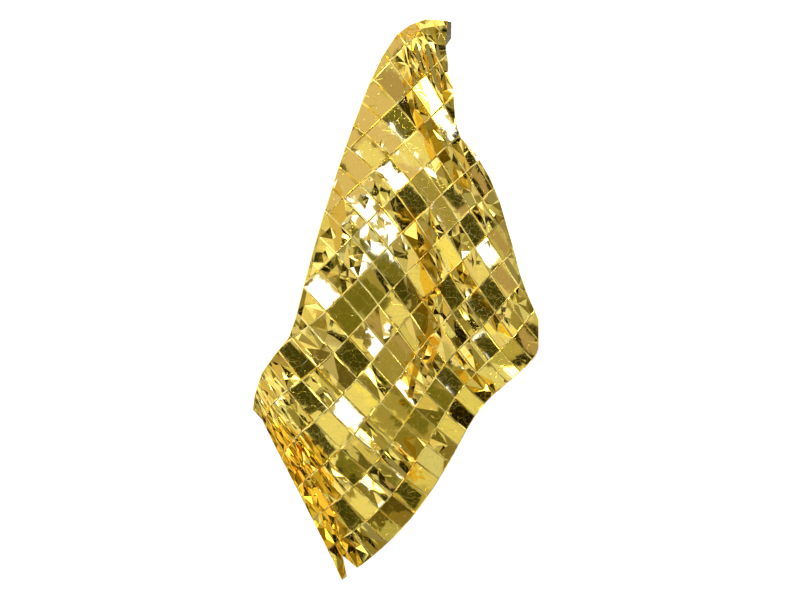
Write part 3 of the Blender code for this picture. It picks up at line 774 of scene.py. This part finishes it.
def growRow(work, run, shares, place):
    # one more row of a turned-under layer, each column keeping its share of the outline
    ends = {p.co.copy().freeze(): s for p, s in shares.items()}
    fresh = {}
    grown = bmesh.ops.extrude_edge_only(work, edges=run)["geom"]
    for p in grown:
        if isinstance(p, bmesh.types.BMVert):
            fresh[p] = ends[p.co.copy().freeze()]
            p.co = place(fresh[p])
    return [e for e in grown if isinstance(e, bmesh.types.BMEdge)], fresh


def sharesOf(edges, line):
    points = list({p for e in edges for p in e.verts})
    along = nearestOn(line, np.array([p.co.x for p in points]), np.array([p.co.y for p in points]))[1]
    return dict(zip(points, along))


def turnLeft(work):
    # under along the left outline, across to the inner edge and back again
    under, floor, edge = blanket["underZ"], blanket["floorZ"], blanket["edgeZ"]

    def ruled(t, z, out=0.0):
        def place(s):
            lx, ly = alongLine(leftFold, s)
            rx, ry = alongLine(innerEdge, s)
            size = np.hypot(rx - lx, ry - ly)
            reach = t * size - out
            return lx + (rx - lx) / size * reach, ly + (ry - ly) / size * reach, z

        return place

    edges = edgeRun(work, leftFold)
    shares = sharesOf(edges, leftFold)
    for z, out in ((edge - 0.0009, 0.0020), ((edge + under) / 2, 0.0028), (under + 0.0009, 0.0020)):
        edges, shares = growRow(work, edges, shares, ruled(0, z, out))
    for t in (0.0, 0.3, 0.65, 1.0):
        edges, shares = growRow(work, edges, shares, ruled(t, under))
    hoodShare = 0.80  # the lowest layer ends below the hood
    edges = [e for e in edges if all(shares[p] < hoodShare for p in e.verts)]
    shares = {p: shares[p] for e in edges for p in e.verts}
    for z in (under - 0.0005, floor + 0.0005):
        edges, shares = growRow(work, edges, shares, ruled(1.0, z, -0.0011))
    for t in (1.0, 0.55, 0.07):
        edges, shares = growRow(work, edges, shares, ruled(t, floor))


def turnRight(work):
    # a narrow flap under along the right outline
    edge, flap = blanket["edgeZ"], blanket["flapZ"]
    edges = edgeRun(work, rightFold)
    shares = sharesOf(edges, rightFold)

    def moved(inward, z):
        def place(s):
            x, y = alongLine(rightFold, s)
            return x - inward, y, z

        return place

    rows = (
        (-0.0011, edge - 0.0005),
        (-0.0016, (edge + flap) / 2),
        (-0.0011, flap + 0.0005),
        (0.0, flap),
        (0.062, flap),
    )
    for inward, z in rows:
        edges, shares = growRow(work, edges, shares, moved(inward, z))


sheetMiddle = [0.0, 0.0]  # middle of the laid sheet on its own map, found by foldSheet


# share of the painted amber reflection at each place, highest along each deep-fold streak
def paintedReflectionShare(x, y):
    share = np.zeros_like(x)
    for x0, y0, x1, y1, half, strength in paintedReflections:
        off = nearestOn(((x0, y0), (x1, y1)), x, y)[0]
        share = np.maximum(share, strength * (1 - smoothStep(off / half - 0.5)))
    return share


def foldSheet(mesh):
    net = cellNet()
    flat, faces = layFacets(net)
    work = bmesh.new()
    free = work.verts.layers.float.new("ease")
    # painted reflection: each face gets a mark for the amber tint that stands for the film mirroring itself
    # in deep folds
    glow = work.faces.layers.float.new("amber")
    verts = [work.verts.new((x, y, 0)) for x, y in flat]
    for face in faces:
        work.faces.new([verts[k] for k in face])
    bmesh.ops.delete(work, geom=[p for p in work.verts if not p.link_faces], context="VERTS")
    print("facets on the creases:", len(work.faces))
    verts = list(work.verts)
    x, y = np.array([p.co.x for p in verts]), np.array([p.co.y for p in verts])
    for p, z, ease in zip(verts, *upperHeight(*cellPlace(x, y), x, y, net)):
        p.co.z, p[free] = z, ease
    draw = np.random.RandomState(blanket["seed"] + 5)
    centres = np.array([f.calc_center_median() for f in work.faces])
    for face, share in zip(work.faces, paintedReflectionShare(centres[:, 0], centres[:, 1])):
        face[glow] = float(draw.uniform() < share)
    crumpleFilm(work, free, net)
    print("facets after crumpling:", len(work.faces))
    verts = list(work.verts)
    u, v = cellPlace(np.array([p.co.x for p in verts]), np.array([p.co.y for p in verts]))
    places = dict(zip(verts, zip(u, v)))
    upper = set(work.faces)
    turnLeft(work)
    turnRight(work)
    cellMap = work.loops.layers.uv.new("cells")
    for face in work.faces:
        for corner in face.loops:
            p = corner.vert
            if face in upper:
                corner[cellMap].uv = places[p]
            else:
                corner[cellMap].uv = p.co.x / blanket["cellU"], p.co.y / blanket["cellV"]
    bmesh.ops.recalc_face_normals(work, faces=work.faces)
    if sum(f.normal.z for f in upper) < 0:
        bmesh.ops.reverse_faces(work, faces=work.faces)
    for axis in (0, 1):
        spread = [p.co[axis] for p in work.verts]
        middle = (min(spread) + max(spread)) / 2
        sheetMiddle[axis] = middle
        for p in work.verts:
            p.co[axis] -= middle
    work.to_mesh(mesh)
    work.free()


def mathStep(nodes, kind, value=0.5):
    step = nodes.new("ShaderNodeMath")
    step.operation = kind
    step.inputs[1].default_value = value
    return step


# pressed creases: hairlines on the cell grid, which the material bumps a little and paints with a bright
# highlight
def creaseGroup():
    group = bpy.data.node_groups.new("pressedCreases", "ShaderNodeTree")
    group.interface.new_socket("Cells", in_out="INPUT", socket_type="NodeSocketVector")
    width = group.interface.new_socket("Width", in_out="INPUT", socket_type="NodeSocketFloat")
    width.default_value = 0.03
    group.interface.new_socket("Line", in_out="OUTPUT", socket_type="NodeSocketFloat")
    nodes, links = group.nodes, group.links
    start, end = nodes.new("NodeGroupInput"), nodes.new("NodeGroupOutput")
    split = nodes.new("ShaderNodeSeparateXYZ")
    links.new(start.outputs["Cells"], split.inputs[0])
    ridges = []
    for name in ("X", "Y"):
        fold = mathStep(nodes, "PINGPONG")
        links.new(split.outputs[name], fold.inputs[0])
        scale = mathStep(nodes, "MULTIPLY", 1.0 if name == "X" else blanket["cellV"] / blanket["cellU"])
        links.new(fold.outputs[0], scale.inputs[0])
        ramp = nodes.new("ShaderNodeMapRange")
        ramp.interpolation_type = "SMOOTHSTEP"
        ramp.inputs["To Min"].default_value = 1.0
        ramp.inputs["To Max"].default_value = 0.0
        links.new(scale.outputs[0], ramp.inputs["Value"])
        links.new(start.outputs["Width"], ramp.inputs["From Max"])
        ridges.append(ramp)
    both = mathStep(nodes, "MAXIMUM")
    links.new(ridges[0].outputs[0], both.inputs[0])
    links.new(ridges[1].outputs[0], both.inputs[1])
    links.new(both.outputs[0], end.inputs["Line"])
    return group


# handled film: little flat facets, each with its own slight tilt
def facetGroup():
    group = bpy.data.node_groups.new("filmFacets", "ShaderNodeTree")
    group.interface.new_socket("Place", in_out="INPUT", socket_type="NodeSocketVector")
    group.interface.new_socket("Height", in_out="OUTPUT", socket_type="NodeSocketFloat")
    nodes, links = group.nodes, group.links
    start, end = nodes.new("NodeGroupInput"), nodes.new("NodeGroupOutput")
    parts = []
    for perMetre, share in facets:
        spots = nodes.new("ShaderNodeTexVoronoi")
        spots.inputs["Scale"].default_value = perMetre
        links.new(start.outputs["Place"], spots.inputs["Vector"])
        away = nodes.new("ShaderNodeVectorMath")
        away.operation = "SUBTRACT"
        links.new(start.outputs["Place"], away.inputs[0])
        links.new(spots.outputs["Position"], away.inputs[1])
        tilt = nodes.new("ShaderNodeVectorMath")
        tilt.operation = "SUBTRACT"
        tilt.inputs[1].default_value = (0.5, 0.5, 0.5)
        links.new(spots.outputs["Color"], tilt.inputs[0])
        slope = nodes.new("ShaderNodeVectorMath")
        slope.operation = "DOT_PRODUCT"
        links.new(away.outputs["Vector"], slope.inputs[0])
        links.new(tilt.outputs["Vector"], slope.inputs[1])
        weigh = mathStep(nodes, "MULTIPLY", share)
        links.new(slope.outputs["Value"], weigh.inputs[0])
        parts.append(weigh)
    both = mathStep(nodes, "ADD")
    links.new(parts[0].outputs[0], both.inputs[0])
    links.new(parts[1].outputs[0], both.inputs[1])
    links.new(both.outputs[0], end.inputs["Height"])
    return group


# facets of the film: how many to a metre, and how much they tilt
facets = ((24, 1.0), (55, 0.5))
# painted reflection: deep folds where the film mirrors itself, given an amber tint painted into the film's
# colour: two ends, half width, strength
paintedReflections = (
    (0.048, 0.710, 0.130, 0.495, 0.026, 0.85),
    (0.130, 0.495, 0.215, 0.390, 0.024, 0.65),
    (0.196, 0.115, 0.361, -0.110, 0.016, 0.60),
    (0.157, 0.743, 0.170, 0.660, 0.014, 0.80),
    (0.036, 0.297, 0.060, 0.198, 0.018, 0.85),
    (0.081, 0.198, 0.130, 0.033, 0.030, 0.85),
    (0.097, 0.033, 0.107, -0.198, 0.026, 0.90),
    (0.054, -0.198, 0.028, -0.330, 0.024, 0.60),
    (0.229, -0.215, 0.318, -0.313, 0.028, 0.50),
    (0.031, -0.462, 0.054, -0.578, 0.024, 0.60),
    (-0.414, -0.462, -0.282, -0.594, 0.070, 0.90),
    (-0.299, -0.495, -0.223, -0.759, 0.050, 0.85),
    (-0.245, -0.700, -0.165, -0.860, 0.045, 0.80),
    (0.000, 0.890, 0.110, 0.915, 0.030, 0.50),
)
foil = {
    "gold": (0.93, 0.68, 0.10, 1),
    # painted reflection: the amber tone that the deep folds take in place of the gold
    "amber": (0.93, 0.50, 0.015, 1),
    # painted shade: the silver back is kept dark, standing for the shade under the turned edges and inside
    # the hood
    "paintedShadeSilver": (0.11, 0.10, 0.05, 1),
    "smoothBelow": 2.0,
    "roughGold": 0.033,
    "roughSilver": 0.22,
    "coat": 0.15,
    # painted highlight: the pale tone and share that the crease hairlines take in the colour
    "paintedCreaseHighlight": (1.0, 0.92, 0.28, 1),
    "creaseRough": 0.07,
    "creaseBlend": 0.8,
    "creaseWidth": 0.030,
    "creaseDepth": 0.0006,
    "facetTilt": 0.005,
}


def foilMaterial(name, colour, paintedReflectionTone, paintedCreaseTone, rough, creaseSheet, facetSheet):
    material = bpy.data.materials.new(name)
    material.use_nodes = True
    nodes, links = material.node_tree.nodes, material.node_tree.links
    shader = nodes["Principled BSDF"]
    shader.inputs["Base Color"].default_value = colour
    shader.inputs["Metallic"].default_value = 1.0
    shader.inputs["Roughness"].default_value = rough
    shader.inputs["Coat Weight"].default_value = foil["coat"]
    shader.inputs["Coat Roughness"].default_value = rough
    grid = nodes.new("ShaderNodeUVMap")
    grid.uv_map = "cells"
    lines = nodes.new("ShaderNodeGroup")
    lines.node_tree = creaseSheet
    lines.inputs["Width"].default_value = foil["creaseWidth"]
    links.new(grid.outputs["UV"], lines.inputs["Cells"])
    place = nodes.new("ShaderNodeTexCoord")
    small = nodes.new("ShaderNodeGroup")
    small.node_tree = facetSheet
    links.new(place.outputs["Object"], small.inputs["Place"])
    # painted reflection: faces marked amber take the amber tone in place of the gold
    tint = nodes.new("ShaderNodeAttribute")
    tint.attribute_name = "amber"
    mix = nodes.new("ShaderNodeMix")
    mix.data_type = "RGBA"
    mix.inputs["A"].default_value = colour
    mix.inputs["B"].default_value = paintedReflectionTone
    links.new(tint.outputs["Fac"], mix.inputs["Factor"])
    # painted highlight along the crease hairlines, mixed into the colour; the same share also makes them
    # smoother
    paintedHighlightShare = mathStep(nodes, "MULTIPLY", foil["creaseBlend"])
    links.new(lines.outputs["Line"], paintedHighlightShare.inputs[0])
    pale = nodes.new("ShaderNodeMix")
    pale.data_type = "RGBA"
    pale.inputs["B"].default_value = paintedCreaseTone
    links.new(paintedHighlightShare.outputs[0], pale.inputs["Factor"])
    links.new(mix.outputs["Result"], pale.inputs["A"])
    links.new(pale.outputs["Result"], shader.inputs["Base Color"])
    blur = nodes.new("ShaderNodeMapRange")
    blur.inputs["To Min"].default_value = rough
    blur.inputs["To Max"].default_value = foil["creaseRough"]
    links.new(paintedHighlightShare.outputs[0], blur.inputs["Value"])
    links.new(blur.outputs["Result"], shader.inputs["Roughness"])
    pressed = nodes.new("ShaderNodeBump")
    pressed.inputs["Distance"].default_value = foil["creaseDepth"]
    links.new(lines.outputs["Line"], pressed.inputs["Height"])
    fine = nodes.new("ShaderNodeBump")
    fine.inputs["Distance"].default_value = foil["facetTilt"]
    links.new(small.outputs["Height"], fine.inputs["Height"])
    links.new(pressed.outputs["Normal"], fine.inputs["Normal"])
    links.new(fine.outputs["Normal"], shader.inputs["Normal"])
    return material


def buildBlanket():
    bpy.ops.object.select_all(action="DESELECT")
    bpy.ops.mesh.primitive_plane_add(size=1, location=(0, 0, 0))
    sheet = bpy.context.object
    sheet.name = "foilBlanket"
    foldSheet(sheet.data)
    creaseSheet, facetSheet = creaseGroup(), facetGroup()
    gold, paintedReflectionTone, pale, paintedShadeSilver = (foil[tone] for tone in ("gold", "amber", "paintedCreaseHighlight", "paintedShadeSilver"))
    front = foilMaterial("goldFilm", gold, paintedReflectionTone, pale, foil["roughGold"], creaseSheet, facetSheet)
    # the back film takes the darkened silver: painted shade
    back = foilMaterial("silverFilm", paintedShadeSilver, paintedShadeSilver, paintedShadeSilver, foil["roughSilver"], creaseSheet, facetSheet)
    sheet.data.materials.append(front)
    sheet.data.materials.append(back)
    wall = sheet.modifiers.new("film", "SOLIDIFY")
    wall.thickness = blanket["film"]
    wall.offset = 0
    wall.material_offset = 1
    bpy.ops.object.modifier_apply(modifier=wall.name)
    bpy.ops.object.shade_smooth_by_angle(angle=math.radians(foil["smoothBelow"]))
    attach(sheet, "root")
    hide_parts("blanket")
    print("blanket laid out:", len(sheet.data.polygons), "faces")
    return sheet


studio = {
    "cameraHeight": 6.0,
    "frameWidth": 2.64,
    "lookX": 0.0143,
    "lookY": -0.0005,
    "sensor": 36.0,
    "world": 0.04,
    "floor": (0.93, 0.92, 0.87, 1),
    "floorRough": 0.9,
    "floorGlow": 0.62,
    "warmBox": (1.0, 0.84, 0.70),
    "wallTint": (0.96, 1.0, 1.50),
}

# the soft box over the calm band
goldBand = {"x": -1.60, "y": 1.15, "z": 3.00, "sizeX": 2.10, "sizeY": 1.50, "bright": 0.68}
# patched reflectors: x and y of two corners, brightness, share of white patches, strength of blue
panels = (
    ("overHood", -0.55, 0.80, 1.60, 1.90, 0.55, 0.03, 0.80),
    ("overShoulder", -0.55, -0.12, 0.12, 0.80, 0.50, 0.05, 1.00),
    ("overRight", 0.12, -0.12, 1.60, 0.80, 0.82, 0.02, 0.95),
    ("overMiddle", -1.70, -0.60, 0.12, -0.12, 0.42, 0.01, 0.85),
    ("overSide", 0.12, -0.60, 1.60, -0.12, 1.00, 0.03, 0.85),
    ("overFoot", -1.70, -1.50, 0.12, -0.60, 0.66, 0.01, 0.70),
    ("overHem", 0.12, -1.50, 1.60, -0.60, 0.92, 0.02, 0.80),
    ("overLeft", -1.70, -0.12, -0.55, 0.40, 0.75, 0.03, 1.00),
    ("farLeft", -3.60, -3.20, -1.70, 1.60, 0.95, 0.02, 0.90),
    ("farTop", -1.60, 1.90, 1.60, 3.60, 0.80, 0.06, 0.75),
    ("farRight", 1.60, -3.20, 3.60, 3.60, 0.65, 0.03, 0.90),
    ("farFoot", -1.70, -3.60, 1.60, -1.50, 0.65, 0.03, 0.75),
)
patches = {
    "height": 3.0,
    "perMetre": 2.6,
    "strength": 10.0,
    "warm": (1.0, 0.90, 0.80, 1),
    "cool": (0.94, 1.0, 0.96, 1),
}
# colour by rank among the patches, white ones apart: rank, red, green, blue
patchTones = (
    (0.00, 0.012, 0.010, 0.002),
    (0.12, 0.035, 0.030, 0.006),
    (0.24, 0.120, 0.110, 0.050),
    (0.36, 0.330, 0.310, 0.240),
    (0.52, 0.600, 0.580, 0.600),
    (0.72, 0.960, 1.000, 1.450),
    (0.90, 1.300, 1.450, 2.800),
    (1.00, 1.500, 1.800, 4.200),
)
# tall soft walls round the floor: brightness on each side
walls = {
    "far": 4.2,
    "wide": 8.0,
    "high": 3.6,
    "foot": 0.3,
    "left": 1.08,
    "right": 0.30,
    "top": 1.45,
    "bottom": 0.28,
}


# cards over single cells, each as large as its cell mirrors it
cards = {"height": 2.90, "step": 0.004, "grow": 1.55, "growWhite": 1.45}
cardTones = {
    "white": (2.0, 2.5, 11.0, 1),
    "glint": (2.0, 2.5, 11.0, 1),
    "yellow": (1.04, 1.10, 1.00, 1),
    "pale": (0.92, 0.96, 1.15, 1),
    "gold": (0.77, 0.70, 1.05, 1),
    "brown": (0.47, 0.41, 0.55, 1),
    "tan": (0.37, 0.36, 0.30, 1),
    "olive": (0.17, 0.18, 0.07, 1),
    "dark": (0.055, 0.060, 0.022, 1),
}


def glowMaterial(name, strength):
    # a plain light of its own, with no other shading
    material = bpy.data.materials.new(name)
    material.use_nodes = True
    nodes, links = material.node_tree.nodes, material.node_tree.links
    nodes.clear()
    glow = nodes.new("ShaderNodeEmission")
    glow.inputs["Strength"].default_value = strength
    end = nodes.new("ShaderNodeOutputMaterial")
    links.new(glow.outputs[0], end.inputs["Surface"])
    return material, glow


def panelMaterial(name, gain, white, blueShare):
    material, glow = glowMaterial(name, patches["strength"])
    nodes, links = material.node_tree.nodes, material.node_tree.links
    place = nodes.new("ShaderNodeNewGeometry")
    patch = nodes.new("ShaderNodeTexVoronoi")
    patch.inputs["Scale"].default_value = patches["perMetre"]
    links.new(place.outputs["Position"], patch.inputs["Vector"])
    tone = nodes.new("ShaderNodeValToRGB")
    ramp = tone.color_ramp
    while len(ramp.elements) < len(patchTones) + 1:
        ramp.elements.new(0.5)
    for k, (rank, red, green, blue) in enumerate(patchTones):
        level = gain / patches["strength"]
        ramp.elements[k].position = rank * (1 - white)
        ramp.elements[k].color = (red * level, green * level, blue * blueShare * level, 1)
    ramp.elements[-1].position = min(1.0, 1.005 - white)
    ramp.elements[-1].color = (1, 1, 1, 1)
    split = nodes.new("ShaderNodeSeparateColor")
    links.new(patch.outputs["Color"], split.inputs[0])
    links.new(split.outputs[0], tone.inputs[0])
    tint = nodes.new("ShaderNodeMix")
    tint.data_type = "RGBA"
    tint.inputs["A"].default_value = patches["warm"]
    tint.inputs["B"].default_value = patches["cool"]
    links.new(split.outputs[1], tint.inputs["Factor"])
    both = nodes.new("ShaderNodeMix")
    both.data_type = "RGBA"
    both.blend_type = "MULTIPLY"
    both.inputs["Factor"].default_value = 1
    links.new(tone.outputs["Color"], both.inputs["A"])
    links.new(tint.outputs["Result"], both.inputs["B"])
    links.new(both.outputs["Result"], glow.inputs["Color"])
    return material


def buildCards():
    # one card over each flat cell, where that cell mirrors it
    eye = Vector((studio["lookX"], studio["lookY"], studio["cameraHeight"]))
    net = cellNet()
    places = [(i, j, tone) for tone, group in flatCells.items() for i, j in group]
    for k, (i, j, tone) in enumerate(places):
        u = np.array([i + 0.2, i + 0.8, i + 0.2, i + 0.8])
        v = np.array([j + 0.2, j + 0.2, j + 0.8, j + 0.8])
        px, py = creasePlan(u, v)
        z = upperHeight(u, v, px, py, net)[0]
        ends = [Vector((a - sheetMiddle[0], b - sheetMiddle[1], c)) for a, b, c in zip(px, py, z)]
        across, along = ends[1] - ends[0], ends[2] - ends[0]
        normal = across.cross(along).normalized()
        normal = normal if normal.z > 0 else -normal
        middle = sum(ends, Vector()) / 4
        sight = (middle - eye).normalized()
        ray = sight - 2 * sight.dot(normal) * normal
        height = cards["height"] - k * cards["step"]
        place = middle + ray * ((height - middle.z) / ray.z)
        bpy.ops.mesh.primitive_plane_add(size=1, location=place)
        card = bpy.context.object
        card.name = tone + "Card"
        grow = cards["growWhite" if tone in ("white", "glint") else "grow"] / 0.6
        card.scale = (across.length * grow, along.length * grow, 1)
        card.rotation_euler = (0, 0, math.atan2(across.y, across.x))
        card.data.materials.append(cardMaterial(tone))
        card.visible_camera = False


def cardMaterial(tone):
    material = bpy.data.materials.get(tone + "Card")
    if material:
        return material
    strength = max(cardTones[tone])
    material, glow = glowMaterial(tone + "Card", strength)
    glow.inputs["Color"].default_value = [part / strength for part in cardTones[tone][:3]] + [1]
    return material


def softBox(name, place, size, turn, bright, colour):
    bpy.ops.object.light_add(type="AREA", location=place)
    lamp = bpy.context.object
    lamp.name = name
    lamp.data.shape = "RECTANGLE"
    lamp.data.size, lamp.data.size_y = size
    lamp.data.energy = bright * math.pi * size[0] * size[1]
    lamp.data.color = colour
    lamp.rotation_euler = turn
    lamp.visible_camera = False


def buildPanels():
    for name, x0, y0, x1, y1, gain, white, blueShare in panels:
        place = ((x0 + x1) / 2, (y0 + y1) / 2, patches["height"])
        bpy.ops.mesh.primitive_plane_add(size=1, location=place)
        panel = bpy.context.object
        panel.name = name
        panel.scale = (x1 - x0, y1 - y0, 1)
        panel.data.materials.append(panelMaterial(name, gain, white, blueShare))
        panel.visible_camera = False


def buildStudio():
    bpy.ops.object.select_all(action="DESELECT")
    bpy.ops.mesh.primitive_plane_add(size=30, location=(0, 0, -0.0005))
    floor = bpy.context.object
    floor.name = "paleFloor"
    paint = bpy.data.materials.new("paleFloor")
    paint.use_nodes = True
    finish = paint.node_tree.nodes["Principled BSDF"].inputs
    finish["Base Color"].default_value = studio["floor"]
    finish["Roughness"].default_value = studio["floorRough"]
    finish["Emission Color"].default_value = (1, 1, 1, 1)
    finish["Emission Strength"].default_value = studio["floorGlow"]
    floor.data.materials.append(paint)
    world = bpy.data.worlds.new("dimRoom")
    bpy.context.scene.world = world
    world.use_nodes = True
    shade = studio["world"]
    world.node_tree.nodes["Background"].inputs["Color"].default_value = (shade, shade, shade, 1)
    place = (goldBand["x"], goldBand["y"], goldBand["z"])
    size = (goldBand["sizeX"], goldBand["sizeY"])
    softBox("goldBand", place, size, (0, 0, 0), goldBand["bright"], studio["warmBox"])
    for side, x, y in (("left", -1, 0), ("right", 1, 0), ("top", 0, 1), ("bottom", 0, -1)):
        place = (x * walls["far"], y * walls["far"], walls["high"] / 2 + walls["foot"])
        turn = (math.pi / 2, 0, math.atan2(y, x) + math.pi / 2)
        softBox(side + "Wall", place, (walls["wide"], walls["high"]), turn, walls[side], studio["wallTint"])
    buildPanels()
    buildCards()
    bpy.ops.object.camera_add(location=(studio["lookX"], studio["lookY"], studio["cameraHeight"]))
    camera = bpy.context.object
    camera.data.sensor_width = studio["sensor"]
    camera.data.lens = studio["sensor"] * studio["cameraHeight"] / studio["frameWidth"]
    bpy.context.scene.camera = camera
    bpy.context.scene.view_settings.view_transform = "Standard"
    print("studio ready:", len(panels), "reflectors and a soft box")


buildBlanket()
buildStudio()
